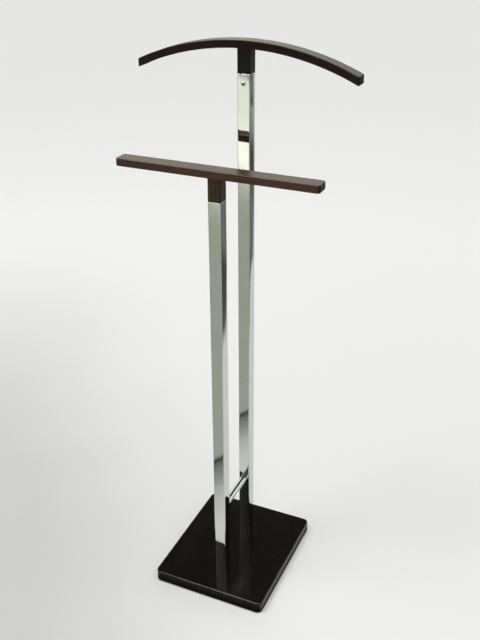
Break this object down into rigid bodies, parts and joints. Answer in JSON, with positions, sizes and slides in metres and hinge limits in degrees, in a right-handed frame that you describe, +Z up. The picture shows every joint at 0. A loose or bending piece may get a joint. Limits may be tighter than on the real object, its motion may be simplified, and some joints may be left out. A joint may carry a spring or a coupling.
{
  "type": "clothes valet stand",
  "caption": "Free-standing clothes valet: chromed square posts on a wood base carry a straight trouser bar in front of and below an arched coat hanger.",
  "frame": {"origin": "on the floor, under the centre of the base board", "axes": "+Z up; X along the trouser bar and the coat hanger; -Y is the front, where the trouser bar stands, and +Y the rear, where the coat hanger stands"},
  "size_m": [0.425, 0.292, 1.125],
  "materials": {
    "base_wood": "wenge stain under a gloss lacquer",
    "bar_wood": "red-brown wenge stain, satin lacquer",
    "hanger_wood": "wenge stain, satin lacquer",
    "block_wood": "wenge stain, satin lacquer",
    "post_chrome": "polished chrome plate",
    "link_chrome": "polished chrome plate",
    "screw_chrome": "nickel-chrome plate",
    "zinc_steel": "zinc-plated steel",
    "dowel_wood": "plain beech",
    "foot_rubber": "matt"
  },
  "bodies": {
    "root": {"base_board": "base_wood", "foot_pads": "foot_rubber", "foot_nails": "zinc_steel", "front_post": "post_chrome", "rear_post": "post_chrome", "front_post_plug": "zinc_steel", "rear_post_plug": "zinc_steel", "front_post_bolt": "zinc_steel", "rear_post_bolt": "zinc_steel", "front_post_washer": "zinc_steel", "rear_post_washer": "zinc_steel", "front_post_pin": "zinc_steel", "rear_post_pin": "zinc_steel", "link_tube": "link_chrome", "link_stud": "zinc_steel", "front_rivet_nut": "zinc_steel", "rear_rivet_nut": "zinc_steel", "front_block": "block_wood", "rear_block": "block_wood", "front_block_screw": "screw_chrome", "rear_block_screw": "screw_chrome", "trouser_bar": "bar_wood", "trouser_bar_screw": "zinc_steel", "trouser_bar_dowels": "dowel_wood", "coat_hanger": "hanger_wood", "hanger_screw": "zinc_steel", "hanger_dowels": "dowel_wood"}
  },
  "joints": []
}
